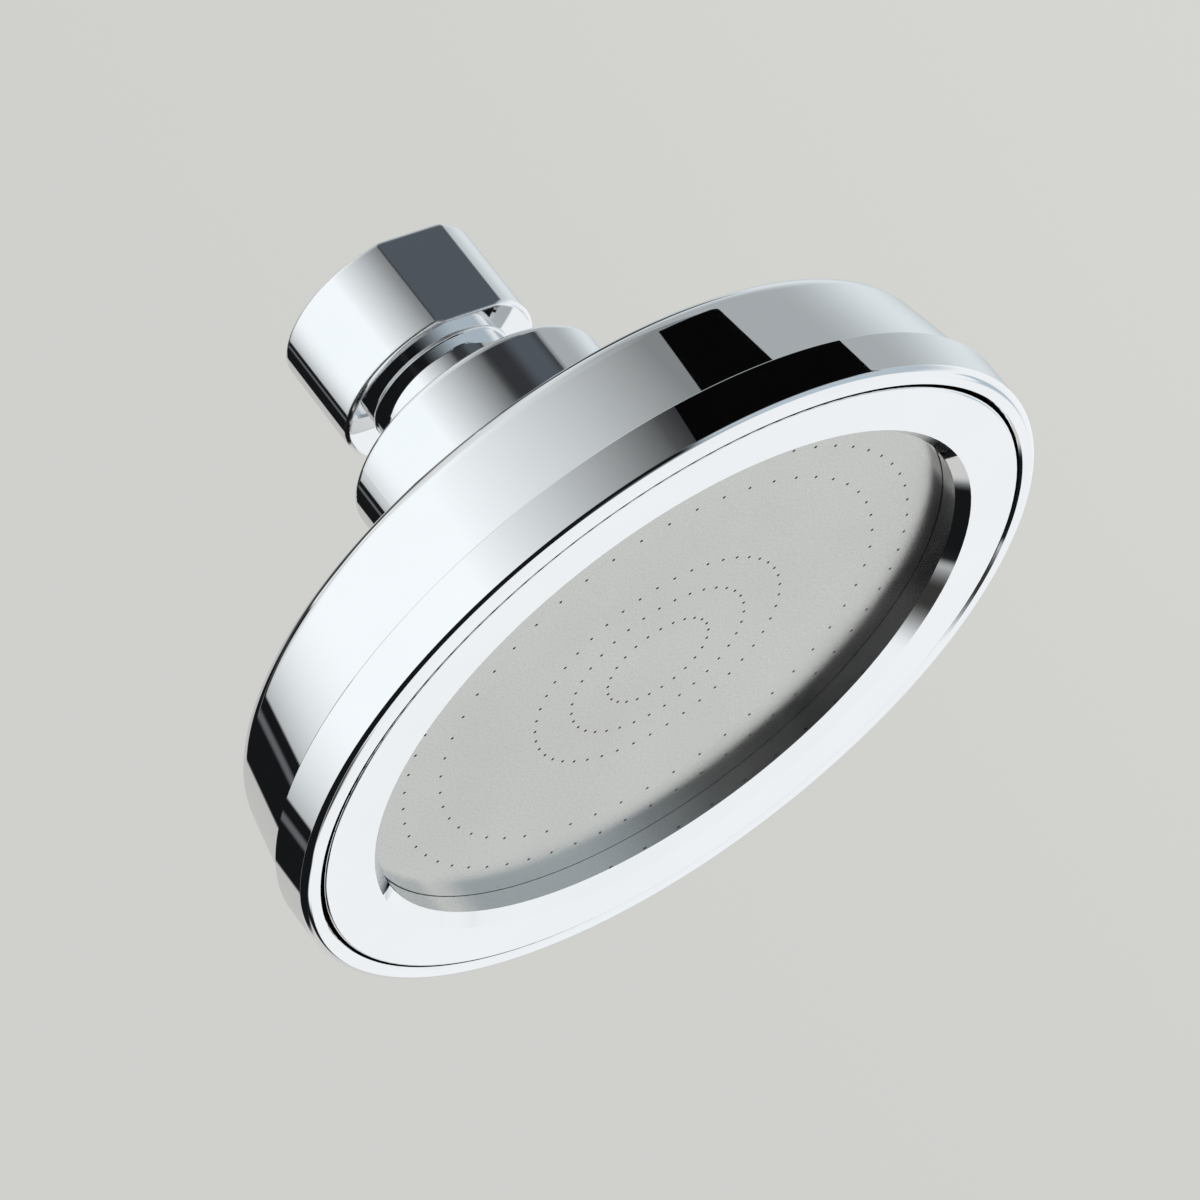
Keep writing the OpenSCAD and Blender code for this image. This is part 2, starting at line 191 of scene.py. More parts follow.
# Above: the softbox, the sheets beside the head, and the dark strips between.
room = sheet(room, 260.0, 300.0, 22.0, 58.0, DARK_ROOM, 0.8, 1.0)
room = sheet(room, 296.5, 502.0, 22.0, 95.0, softbox, 0.8, 1.0)
room = sheet(room, 142.0, 231.0, 22.0, 95.0, right_sheet, 0.8, 1.0)
room = sheet(room, 132.0, 150.0, 31.0, 95.0, right_sheet, 0.8, 1.0)
room = sheet(room, 232.0, 266.5, 22.0, 95.0, LEFT_SHEET, 1.0, 1.0)
room = sheet(room, 287.2, 290.6, 22.0, 52.0, STREAK, 1.2, 1.0)
room = sheet(room, 195.0, 280.0, 49.0, 65.0, OVERHEAD_GREY, 8.0, 3.0)
room = blended(sky, eased(sky, elevation, 66.0, 82.0), room, OVERHEAD_SHEET)
room = sheet(room, 91.0, 142.5, 14.0, 29.3, SLATE_EDGE, 5.0, 0.4)
room = sheet(room, 112.0, 138.5, 15.0, 28.3, SLATE, 7.0, 0.4)
facing = sky.nodes.new("ShaderNodeVectorMath")
facing.operation = "DOT_PRODUCT"
sky.links.new(direction, facing.inputs[0])
facing.inputs[1].default_value = camera_turn @ Vector((0.8, 0.6, 0.0))
backdrop = blended(sky, eased(sky, facing.outputs["Value"], -0.03, 0.12), BACKDROP, BACKDROP_RIGHT)
ray = sky.nodes.new("ShaderNodeLightPath")
seen = worked(sky, "ADD", ray.outputs["Is Camera Ray"], ray.outputs["Is Transmission Ray"])
light = blended(sky, seen, AMBIENT, backdrop)
light = blended(sky, ray.outputs["Is Glossy Ray"], light, room)
background = sky.nodes.new("ShaderNodeBackground")
sky.links.new(light, background.inputs["Color"])
sky_output = sky.nodes.new("ShaderNodeOutputWorld")
sky.links.new(background.outputs[0], sky_output.inputs["Surface"])

# A black flag stands close beside the shell. It is low enough that the collar
# and the nut look over it, at the slate sheet.
FLAG_RADIUS = 0.085
FLAG_LEVELS = (
    (0.0150, 80.5, 125.3),
    (0.0208, 81.5, 123.7),
    (0.0255, 82.2, 122.0),
    (0.0360, 83.4, 118.5),
    (0.0361, 90.4, 110.9),
    (0.0438, 92.6, 111.4),
    (0.0555, 96.1, 112.7),
    (0.0567, 96.4, 111.4),
    (0.0572, 96.6, 109.0),
)
FLAG_STEPS = 24
flag_points = []
flag_faces = []
for height, start, stop in FLAG_LEVELS:
    for step in range(FLAG_STEPS + 1):
        angle = math.radians(start + (stop - start) * step / FLAG_STEPS)
        flag_points.append((FLAG_RADIUS * math.cos(angle), FLAG_RADIUS * math.sin(angle), height))
for row in range(len(FLAG_LEVELS) - 1):
    for step in range(FLAG_STEPS):
        corner = row * (FLAG_STEPS + 1) + step
        flag_faces.append((corner, corner + 1, corner + FLAG_STEPS + 2, corner + FLAG_STEPS + 1))
flag_mesh = bpy.data.meshes.new("flag")
flag_mesh.from_pydata(flag_points, [], flag_faces)
flag = bpy.data.objects.new("flag", flag_mesh)
scene.collection.objects.link(flag)
flag_black = bpy.data.materials.new("flag black")
flag_black.use_nodes = True
flag_black.node_tree.nodes["Principled BSDF"].inputs["Base Color"].default_value = (0.003, 0.003, 0.003, 1.0)
flag_black.node_tree.nodes["Principled BSDF"].inputs["Specular IOR Level"].default_value = 0.0
flag_mesh.materials.append(flag_black)
flag.visible_camera = False
flag.visible_diffuse = False
flag.visible_shadow = False

# The floor is a plain pale sheet far below the hanging head.
FLOOR_HALF = 9.0
FLOOR_HEIGHT = -1.25
floor_mesh = bpy.data.meshes.new("floor")
floor_corners = [(x * FLOOR_HALF, y * FLOOR_HALF, FLOOR_HEIGHT) for x, y in ((-1, -1), (1, -1), (1, 1), (-1, 1))]
floor_mesh.from_pydata(floor_corners, [], [(0, 1, 2, 3)])
floor = bpy.data.objects.new("floor", floor_mesh)
scene.collection.objects.link(floor)
floor_pale = bpy.data.materials.new("floor pale")
floor_pale.use_nodes = True
floor_pale.node_tree.nodes["Principled BSDF"].inputs["Base Color"].default_value = (0.66, 0.66, 0.64, 1.0)
floor_pale.node_tree.nodes["Principled BSDF"].inputs["Roughness"].default_value = 0.9
floor_pale.node_tree.nodes["Principled BSDF"].inputs["Specular IOR Level"].default_value = 0.0
floor_mesh.materials.append(floor_pale)
floor.visible_glossy = False

# One soft lamp from the softbox's side lights what isn't chrome.
LAMP_PLACE = Vector((0.75, -0.2, 0.95))
lamp_data = bpy.data.lights.new("soft lamp", "AREA")
lamp_data.size = 0.9
lamp_data.energy = 4.5
lamp = bpy.data.objects.new("soft lamp", lamp_data)
scene.collection.objects.link(lamp)
lamp_turn = LAMP_PLACE.to_track_quat("Z", "Y").to_matrix().to_4x4()
lamp.matrix_world = Matrix.Translation(LAMP_PLACE) @ lamp_turn
lamp.visible_glossy = False


# The shell is moulded in ABS and chrome plated: a band, a step, a slightly
# conical tier and a low domed back, with the threaded well for the ball joint.
def finish(name):
    """A new material with its node tree and its shader."""
    material = bpy.data.materials.new(name)
    material.use_nodes = True
    return material, material.node_tree, material.node_tree.nodes["Principled BSDF"]


def grain(tree, scale, detail=2.0, stretch=(1.0, 1.0, 1.0)):
    """Noise on the piece's own coordinates, with its features 1 / scale metres wide."""
    place = tree.nodes.new("ShaderNodeTexCoord")
    mapping = tree.nodes.new("ShaderNodeMapping")
    mapping.inputs["Scale"].default_value = stretch
    noise = tree.nodes.new("ShaderNodeTexNoise")
    noise.inputs["Scale"].default_value = scale
    noise.inputs["Detail"].default_value = detail
    tree.links.new(place.outputs["Object"], mapping.inputs["Vector"])
    tree.links.new(mapping.outputs["Vector"], noise.inputs["Vector"])
    return noise.outputs["Fac"]


def between(tree, noise, low, high):
    """The noise's middle range spread over low to high."""
    node = tree.nodes.new("ShaderNodeMapRange")
    tree.links.new(noise, node.inputs["Value"])
    node.inputs["From Min"].default_value = 0.3
    node.inputs["From Max"].default_value = 0.7
    node.inputs["To Min"].default_value = low
    node.inputs["To Max"].default_value = high
    return node.outputs[0]


def relief(tree, shader, height, depth):
    """A bump of that depth in metres."""
    bump = tree.nodes.new("ShaderNodeBump")
    bump.inputs["Strength"].default_value = 1.0
    bump.inputs["Distance"].default_value = depth
    tree.links.new(height, bump.inputs["Height"])
    tree.links.new(bump.outputs["Normal"], shader.inputs["Normal"])


def chrome(name, dark, light, smooth, hazed, ripple_scale, ripple_depth):
    """Chrome plate: clear, with faint haze where it was handled and a long soft ripple."""
    material, tree, shader = finish(name)
    shader.inputs["Metallic"].default_value = 1.0
    tone = between(tree, grain(tree, 55.0, 3.0), 0.0, 1.0)
    tree.links.new(blended(tree, tone, dark, light), shader.inputs["Base Color"])
    haze = between(tree, grain(tree, 140.0, 4.0, (1.0, 1.0, 2.2)), smooth, hazed)
    tree.links.new(haze, shader.inputs["Roughness"])
    relief(tree, shader, grain(tree, ripple_scale, 1.0), ripple_depth)
    return material


def around(tree):
    """A point's distance from the head's axis and its height."""
    place = tree.nodes.new("ShaderNodeTexCoord")
    axes = tree.nodes.new("ShaderNodeSeparateXYZ")
    tree.links.new(place.outputs["Object"], axes.inputs[0])
    square = worked(tree, "MULTIPLY", axes.outputs["Y"], axes.outputs["Y"])
    square = worked(tree, "MULTIPLY_ADD", axes.outputs["X"], axes.outputs["X"], square)
    return worked(tree, "SQRT", square), axes.outputs["Z"]


def painted_groove_shade(material):
    """Painted shade in the narrow groove between lip and ring: its colour is painted near black, and its roughness is
    raised.
    """
    tree = material.node_tree
    shader = tree.nodes["Principled BSDF"]
    radius, height = around(tree)
    inside = worked(tree, "COMPARE", radius, (GROOVE_IN + GROOVE_OUT) / 2.0, (GROOVE_OUT - GROOVE_IN) / 2.0)
    share = worked(tree, "MULTIPLY", inside, worked(tree, "LESS_THAN", height, 0.006))
    plated = shader.inputs["Base Color"].links[0].from_socket
    tree.links.new(blended(tree, share, plated, (0.006, 0.006, 0.007)), shader.inputs["Base Color"])
    hazed = shader.inputs["Roughness"].links[0].from_socket
    tree.links.new(worked(tree, "MULTIPLY_ADD", share, 0.5, hazed), shader.inputs["Roughness"])


def dressed(material, *names):
    """The CAD nodes take the material."""
    for name in names:
        for slot in nodes[name].material_slots:
            slot.material = material


GROOVE_IN = 0.04798
GROOVE_OUT = 0.04837
plated_plastic = chrome(
    "chrome plated plastic", (0.862, 0.868, 0.874), (0.886, 0.890, 0.894), 0.012, 0.032, 70.0, 0.000006
)
# Painted shade in the groove on the shell's lip.
painted_groove_shade(plated_plastic)
dressed(plated_plastic, "shell")


def arc(centre, radius, first, last, steps):
    """Points of an arc beside the axis, as distance and height."""
    angles = [first + (last - first) * step / steps for step in range(steps + 1)]
    return [(centre[0] + radius * math.cos(angle), centre[1] + radius * math.sin(angle)) for angle in angles]


def turned(outline, steps):
    """The points and faces of a closed outline turned round the axis."""
    points = []
    faces = []
    rows = len(outline)
    for step in range(steps):
        angle = math.tau * step / steps
        here = step * rows
        there = (step + 1) % steps * rows
        for row, (across, height) in enumerate(outline):
            next_row = (row + 1) % rows
            points.append((across * math.cos(angle), across * math.sin(angle), height))
            faces.append((here + row, there + row, there + next_row, here + next_row))
    return points, faces


def built(name, points, faces, material):
    """A mesh object at the origin, smooth but for its edges."""
    mesh = bpy.data.meshes.new(name)
    mesh.from_pydata(points, [], faces)
    mesh.shade_smooth()
    mesh.set_sharp_from_angle(angle=math.radians(32.0))
    mesh.materials.append(material)
    piece = bpy.data.objects.new(name, mesh)
    scene.collection.objects.link(piece)
    return piece


BAND_RADIUS = 0.05075
BAND_HEIGHT = 0.0062
BAND_EDGE = 0.00015
LIP_EDGE = 0.0010
LIP_IN_RADIUS = 0.04835
LIP_CHAMFER = 0.0003
RING_SEAT_HEIGHT = 0.0040
TIER_RADIUS = 0.0500
TIER_DRAFT = 0.194
SHOULDER = 0.0034
BACK_SPHERE = 0.135
SHELL_WALL = 0.0024
LAND_HEIGHT = 0.0260
LAND_RADIUS = 0.0176
COLLAR_RADIUS = 0.0171
STUD_RADIUS = 0.01545
STUD_TOP = 0.0374
STUD_CHAMFER = 0.0004
WELL_RADIUS = 0.01405
WELL_OUT_RADIUS = 0.01645
WELL_FLOOR = 0.02039
WELL_BOTTOM = 0.0179
OUTLET_RADIUS = 0.0060
RIB_IN_RADIUS = 0.0414
RIB_OUT_RADIUS = 0.0436
RIB_BOTTOM = 0.0083
BORE_RADIUS = 0.0466
BORE_TOP = 0.0110
EDGE_HOLD = 0.00015
SHELL_STEPS = 480
# The shoulder's arc touches the tier's cone and the sphere of the back.
tier_slope = math.hypot(1.0, TIER_DRAFT)
back_centre = LAND_HEIGHT - math.sqrt(BACK_SPHERE ** 2 - COLLAR_RADIUS ** 2)
shoulder_reach = TIER_RADIUS + TIER_DRAFT * BAND_HEIGHT - SHOULDER * tier_slope
back_reach = BACK_SPHERE - SHOULDER
middle = TIER_DRAFT * shoulder_reach + back_centre
rest = middle ** 2 - tier_slope ** 2 * (shoulder_reach ** 2 + back_centre ** 2 - back_reach ** 2)
shoulder_height = (middle + math.sqrt(rest)) / tier_slope ** 2
shoulder_centre = (shoulder_reach - TIER_DRAFT * shoulder_height, shoulder_height)
tier_angle = math.atan(TIER_DRAFT)
back_angle = math.atan2(shoulder_height - back_centre, shoulder_centre[0])


def back_arc(inset, start, stop, steps):
    """A stretch of the back between two distances from the axis, or to the shoulder."""
    radius = BACK_SPHERE - inset
    ends = [back_angle if end is None else math.acos(end / radius) for end in (start, stop)]
    return arc((0.0, back_centre), radius, ends[0], ends[1], steps)


shoulder = arc(shoulder_centre, SHOULDER, tier_angle, back_angle, 44)
inner_shoulder = arc(shoulder_centre, SHOULDER - SHELL_WALL, back_angle, tier_angle, 8)
inner_wall = inner_shoulder[-1]
shell_outline = [(LIP_IN_RADIUS + LIP_CHAMFER, 0.0), (BAND_RADIUS - LIP_EDGE - EDGE_HOLD, 0.0)]
shell_outline += arc((BAND_RADIUS - LIP_EDGE, LIP_EDGE), LIP_EDGE, -math.pi / 2.0, 0.0, 24)
shell_outline += [
    (BAND_RADIUS, LIP_EDGE + EDGE_HOLD),
    (BAND_RADIUS, BAND_HEIGHT - BAND_EDGE),
    (BAND_RADIUS - BAND_EDGE, BAND_HEIGHT),
    (TIER_RADIUS, BAND_HEIGHT),
    (shoulder[0][0] + TIER_DRAFT * EDGE_HOLD, shoulder[0][1] - EDGE_HOLD),
]
shell_outline += shoulder
shell_outline += back_arc(0.0, None, LAND_RADIUS, 24)[1:]
shell_outline += [
    (LAND_RADIUS, LAND_HEIGHT),
    (STUD_RADIUS, LAND_HEIGHT),
    (STUD_RADIUS, STUD_TOP - STUD_CHAMFER),
    (STUD_RADIUS - STUD_CHAMFER, STUD_TOP),
    (WELL_RADIUS, STUD_TOP),
    (WELL_RADIUS, WELL_FLOOR),
    (OUTLET_RADIUS, WELL_FLOOR),
    (OUTLET_RADIUS, WELL_BOTTOM),
    (WELL_OUT_RADIUS, WELL_BOTTOM),
]
shell_outline += back_arc(SHELL_WALL, WELL_OUT_RADIUS, RIB_IN_RADIUS, 8)
shell_outline += [(RIB_IN_RADIUS, RIB_BOTTOM), (RIB_OUT_RADIUS, RIB_BOTTOM)]
shell_outline += back_arc(SHELL_WALL, RIB_OUT_RADIUS, None, 2)[:-1]
shell_outline += inner_shoulder
shell_outline += [
    (inner_wall[0] + TIER_DRAFT * (inner_wall[1] - BORE_TOP), BORE_TOP),
    (BORE_RADIUS, BORE_TOP),
    (BORE_RADIUS, RING_SEAT_HEIGHT),
    (LIP_IN_RADIUS, RING_SEAT_HEIGHT),
    (LIP_IN_RADIUS, LIP_CHAMFER),
]
shell_points, shell_faces = turned(shell_outline, SHELL_STEPS)

# Inside, eight webs stand between the well and the rib, and four posts with
# blind pilot holes take the diffuser's screws.
WEB_COUNT = 8
WEB_HALF_WIDTH = 0.0009
WEB_OVERLAP = 0.0005
web_side = [(STUD_RADIUS, WELL_BOTTOM), (RIB_IN_RADIUS + WEB_OVERLAP, WELL_BOTTOM)]
web_side += back_arc(SHELL_WALL / 2.0, RIB_IN_RADIUS + WEB_OVERLAP, STUD_RADIUS, 8)
for web in range(WEB_COUNT):
    turn = math.tau * (web + 0.5) / WEB_COUNT
    base = len(shell_points)
    rows = len(web_side)
    for aside in (-WEB_HALF_WIDTH, WEB_HALF_WIDTH):
        for across, height in web_side:
            along_x = across * math.cos(turn) - aside * math.sin(turn)
            along_y = across * math.sin(turn) + aside * math.cos(turn)
            shell_points.append((along_x, along_y, height))
    shell_faces.append(tuple(base + row for row in range(rows)))
    shell_faces.append(tuple(base + rows + row for row in reversed(range(rows))))
    for row in range(rows):
        next_row = (row + 1) % rows
        shell_faces.append((base + next_row, base + row, base + rows + row, base + rows + next_row))
POST_COUNT = 4
POST_CIRCLE = 0.0280
POST_RADIUS = 0.0032
POST_TOP = 0.0229
PILOT_RADIUS = 0.0015
PILOT_END = 0.0163
POST_CENTRE = 0.00001
post_outline = [
    (PILOT_RADIUS, RIB_BOTTOM),
    (POST_RADIUS, RIB_BOTTOM),
    (POST_RADIUS, POST_TOP),
    (POST_CENTRE, POST_TOP),
    (POST_CENTRE, PILOT_END),
    (PILOT_RADIUS, PILOT_END),
]
post_points, post_faces = turned(post_outline, 48)
for post in range(POST_COUNT):
    turn = math.tau * post / POST_COUNT
    base = len(shell_points)
    shell_points += [
        (x + POST_CIRCLE * math.cos(turn), y + POST_CIRCLE * math.sin(turn), z) for x, y, z in post_points
    ]
    shell_faces += [tuple(base + corner for corner in face) for face in post_faces]
moulded_shell = built("moulded_shell", shell_points, shell_faces, plated_plastic)
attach(moulded_shell, "head")
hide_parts("shell")

# The diffuser plate is moulded in off-white acetal. It spreads the water over
# the spray plate, and four screws hold it to posts inside the shell.
acetal, acetal_tree, acetal_shader = finish("white acetal")
acetal_tone = between(acetal_tree, grain(acetal_tree, 90.0, 3.0), 0.0, 1.0)
acetal_tree.links.new(
    blended(acetal_tree, acetal_tone, (0.80, 0.79, 0.74), (0.85, 0.84, 0.80)), acetal_shader.inputs["Base Color"]
)
acetal_tree.links.new(
    between(acetal_tree, grain(acetal_tree, 900.0), 0.36, 0.50), acetal_shader.inputs["Roughness"]
)
relief(acetal_tree, acetal_shader, grain(acetal_tree, 2600.0, 3.0), 0.000012)
dressed(acetal, "diffuser_plate")

# The four screws are stainless, with a cross recess and a cut thread. One is
# built and set on four points of a circle, head down.
SCREW_SIZES = {
    "Circle radius": 0.028,
    "Face height": 0.0058,
    "Head radius": 0.0028,
    "Head height": 0.0013,
    "Head edge": 0.00035,
    "Core radius": 0.00118,
    "Crest radius": 0.00145,
    "Length": 0.0070,
    "Tip length": 0.0010,
    "Tip radius": 0.0004,
    "Pitch": 0.0008,
    "Slot width": 0.0007,
    "Slot length": 0.0032,
    "Slot depth": 0.0009,
}
steel, steel_tree, steel_shader = finish("satin steel")
steel_shader.inputs["Metallic"].default_value = 1.0
steel_tone = between(steel_tree, grain(steel_tree, 2600.0, 4.0), 0.0, 1.0)
steel_tree.links.new(
    blended(steel_tree, steel_tone, (0.52, 0.515, 0.495), (0.62, 0.615, 0.595)), steel_shader.inputs["Base Color"]
)
steel_tree.links.new(
    between(steel_tree, grain(steel_tree, 1500.0, 3.0), 0.24, 0.36), steel_shader.inputs["Roughness"]
)
relief(steel_tree, steel_shader, grain(steel_tree, 3800.0, 3.0), 0.000008)


def new_tree(name, sizes):
    """A geometry tree with a named input for each size."""
    tree = bpy.data.node_groups.new(name, "GeometryNodeTree")
    tree.interface.new_socket("Geometry", in_out="OUTPUT", socket_type="NodeSocketGeometry")
    for size in sizes:
        tree.interface.new_socket(size, in_out="INPUT", socket_type="NodeSocketFloat")
    inputs = tree.nodes.new("NodeGroupInput")
    return tree, {size: inputs.outputs[size] for size in sizes}


def moved(tree, geometry, height):
    """The geometry raised by a height."""
    node = tree.nodes.new("GeometryNodeTransform")
    lift = tree.nodes.new("ShaderNodeCombineXYZ")
    tree.links.new(height, lift.inputs["Z"])
    tree.links.new(lift.outputs[0], node.inputs["Translation"])
    tree.links.new(geometry, node.inputs["Geometry"])
    return node.outputs[0]


def ridge(tree, wall, crest, pitch, length, base, inward_facing):
    """A right-hand thread ridge on a round wall, which runs out at both ends."""
    spiral = tree.nodes.new("GeometryNodeCurveSpiral")
    spiral.inputs["Resolution"].default_value = 64
    tree.links.new(worked(tree, "DIVIDE", length, pitch), spiral.inputs["Rotations"])
    tree.links.new(wall, spiral.inputs["Start Radius"])
    tree.links.new(wall, spiral.inputs["End Radius"])
    tree.links.new(length, spiral.inputs["Height"])
    upright = tree.nodes.new("GeometryNodeSetCurveNormal")
    upright.mode = "Z_UP"
    tree.links.new(spiral.outputs["Curve"], upright.inputs["Curve"])
    depth = worked(tree, "SUBTRACT", wall, crest)
    sunk = worked(tree, "MULTIPLY", depth, -0.06)
    half_root = worked(tree, "MULTIPLY", pitch, 0.44)
    half_crest = worked(tree, "MULTIPLY", pitch, 0.10)
    corners = [
        (depth, half_crest),
        (depth, worked(tree, "MULTIPLY", half_crest, -1.0)),
        (sunk, worked(tree, "MULTIPLY", half_root, -1.0)),
        (sunk, half_root),
    ]
    if inward_facing:
        corners.reverse()
    profile = tree.nodes.new("GeometryNodeCurvePrimitiveQuadrilateral")
    profile.mode = "POINTS"
    for number, (across, along) in enumerate(corners, 1):
        corner = tree.nodes.new("ShaderNodeCombineXYZ")
        tree.links.new(across, corner.inputs["X"])
        tree.links.new(along, corner.inputs["Y"])
        tree.links.new(corner.outputs[0], profile.inputs["Point %d" % number])
    share = tree.nodes.new("GeometryNodeSplineParameter").outputs["Factor"]
    from_end = worked(tree, "MINIMUM", share, worked(tree, "SUBTRACT", 1.0, share))
    size = worked(tree, "MULTIPLY_ADD", eased(tree, from_end, 0.0, 0.12), 0.98, 0.02)
    sweep = tree.nodes.new("GeometryNodeCurveToMesh")
    sweep.inputs["Fill Caps"].default_value = True
    tree.links.new(upright.outputs["Curve"], sweep.inputs["Curve"])
    tree.links.new(profile.outputs["Curve"], sweep.inputs["Profile Curve"])
    tree.links.new(size, sweep.inputs["Scale"])
    return moved(tree, sweep.outputs["Mesh"], base)


def ended(tree, geometry, material):
    """The tree's end: real geometry with its material."""
    real = tree.nodes.new("GeometryNodeRealizeInstances")
    coated = tree.nodes.new("GeometryNodeSetMaterial")
    coated.inputs["Material"].default_value = material
    output = tree.nodes.new("NodeGroupOutput")
    tree.links.new(geometry, real.inputs["Geometry"])
    tree.links.new(real.outputs[0], coated.inputs["Geometry"])
    tree.links.new(coated.outputs[0], output.inputs[0])


def baked(name, tree, sizes):
    """The tree's result as a plain mesh object at the origin."""
    piece = bpy.data.objects.new(name, bpy.data.meshes.new(name))
    scene.collection.objects.link(piece)
    maker = piece.modifiers.new("maker", "NODES")
    maker.node_group = tree
    for item in tree.interface.items_tree:
        if item.in_out == "INPUT":
            maker[item.identifier] = sizes[item.name]
    bpy.context.view_layer.update()
    made = bpy.data.meshes.new_from_object(piece.evaluated_get(bpy.context.evaluated_depsgraph_get()))
    piece.modifiers.clear()
    piece.data = made
    made.name = name
    made.shade_smooth()
    made.set_sharp_from_angle(angle=math.radians(32.0))
    return piece


screw_tree, screw_size = new_tree("diffuser screw", SCREW_SIZES)
straight = worked(screw_tree, "SUBTRACT", screw_size["Length"], screw_size["Tip length"])
edge_radius = worked(screw_tree, "SUBTRACT", screw_size["Head radius"], screw_size["Head edge"])
edge_height = worked(screw_tree, "SUBTRACT", screw_size["Head height"], screw_size["Head edge"])
screw_steps = (
    (None, edge_radius, None),
    (edge_radius, screw_size["Head radius"], screw_size["Head edge"]),
    (screw_size["Head radius"], screw_size["Head radius"], edge_height),
    (screw_size["Head radius"], screw_size["Core radius"], None),
    (screw_size["Core radius"], screw_size["Core radius"], straight),
    (screw_size["Core radius"], screw_size["Tip radius"], screw_size["Tip length"]),
    (screw_size["Tip radius"], None, None),
)
turned_screw = screw_tree.nodes.new("GeometryNodeJoinGeometry")
level = worked(screw_tree, "ADD", screw_size["Face height"], 0.0)
for low_radius, high_radius, rise in screw_steps:
    cone = screw_tree.nodes.new("GeometryNodeMeshCone")
    cone.fill_type = "NONE"
    cone.inputs["Vertices"].default_value = 40
    for socket, value in (("Radius Bottom", low_radius), ("Radius Top", high_radius), ("Depth", rise)):
        cone.inputs[socket].default_value = 0.0
        if value is not None:
            screw_tree.links.new(value, cone.inputs[socket])
    screw_tree.links.new(moved(screw_tree, cone.outputs["Mesh"], level), turned_screw.inputs[0])
    if rise is not None:
        level = worked(screw_tree, "ADD", level, rise)
closed_screw = screw_tree.nodes.new("GeometryNodeMergeByDistance")
closed_screw.inputs["Distance"].default_value = 0.000002
screw_tree.links.new(turned_screw.outputs[0], closed_screw.inputs["Geometry"])
recess = screw_tree.nodes.new("GeometryNodeMeshBoolean")
recess.operation = "DIFFERENCE"
recess.solver = "EXACT"
screw_tree.links.new(closed_screw.outputs[0], recess.inputs["Mesh 1"])
for long_side, short_side in (("X", "Y"), ("Y", "X")):
    bar = screw_tree.nodes.new("GeometryNodeMeshCube")
    bar_size = screw_tree.nodes.new("ShaderNodeCombineXYZ")
    screw_tree.links.new(screw_size["Slot length"], bar_size.inputs[long_side])
    screw_tree.links.new(screw_size["Slot width"], bar_size.inputs[short_side])
    screw_tree.links.new(worked(screw_tree, "MULTIPLY", screw_size["Slot depth"], 2.0), bar_size.inputs["Z"])
    screw_tree.links.new(bar_size.outputs[0], bar.inputs["Size"])
    screw_tree.links.new(moved(screw_tree, bar.outputs["Mesh"], screw_size["Face height"]), recess.inputs["Mesh 2"])
thread_base = worked(screw_tree, "ADD", screw_size["Face height"], worked(screw_tree, "ADD", screw_size["Head height"], 0.0006))
thread_length = worked(screw_tree, "SUBTRACT", straight, 0.0007)
screw_ridge = ridge(
    screw_tree, screw_size["Core radius"], screw_size["Crest radius"], screw_size["Pitch"], thread_length, thread_base, False
)
whole_screw = screw_tree.nodes.new("GeometryNodeJoinGeometry")
screw_tree.links.new(recess.outputs["Mesh"], whole_screw.inputs[0])
screw_tree.links.new(screw_ridge, whole_screw.inputs[0])
posts = screw_tree.nodes.new("GeometryNodeMeshCircle")
posts.inputs["Vertices"].default_value = 4
screw_tree.links.new(screw_size["Circle radius"], posts.inputs["Radius"])
placed = screw_tree.nodes.new("GeometryNodeInstanceOnPoints")
screw_tree.links.new(posts.outputs["Mesh"], placed.inputs["Points"])
screw_tree.links.new(whole_screw.outputs[0], placed.inputs["Instance"])
ended(screw_tree, placed.outputs["Instances"], steel)
diffuser_screws = baked("diffuser_screws", screw_tree, SCREW_SIZES)
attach(diffuser_screws, "head")
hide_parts("diffuser_screw_1", "diffuser_screw_2", "diffuser_screw_3", "diffuser_screw_4")

# The plate gasket is moulded in black rubber, and seals the chamber between
# the diffuser and the spray plate.
rubber, rubber_tree, rubber_shader = finish("black rubber")
rubber_tone = between(rubber_tree, grain(rubber_tree, 160.0, 4.0), 0.0, 1.0)
rubber_tree.links.new(
    blended(rubber_tree, rubber_tone, (0.022, 0.022, 0.024), (0.048, 0.048, 0.052)), rubber_shader.inputs["Base Color"]
)
rubber_tree.links.new(between(rubber_tree, grain(rubber_tree, 700.0), 0.58, 0.76), rubber_shader.inputs["Roughness"])
relief(rubber_tree, rubber_shader, grain(rubber_tree, 3000.0, 3.0), 0.00002)
dressed(rubber, "plate_gasket")

# The spray plate is stainless sheet, punched with five rings of small holes
# and finished to a fine satin grain.
plate_steel, plate_tree, plate_shader = finish("satin spray plate")
plate_shader.inputs["Metallic"].default_value = 1.0
plate_tone = between(plate_tree, grain(plate_tree, 3400.0, 5.0), 0.0, 1.0)
plate_tree.links.new(
    blended(plate_tree, plate_tone, (0.530, 0.522, 0.492), (0.620, 0.613, 0.581)), plate_shader.inputs["Base Color"]
)
plate_tree.links.new(between(plate_tree, grain(plate_tree, 60.0, 4.0), 0.20, 0.27), plate_shader.inputs["Roughness"])
relief(plate_tree, plate_shader, grain(plate_tree, 5200.0, 3.0), 0.000006)
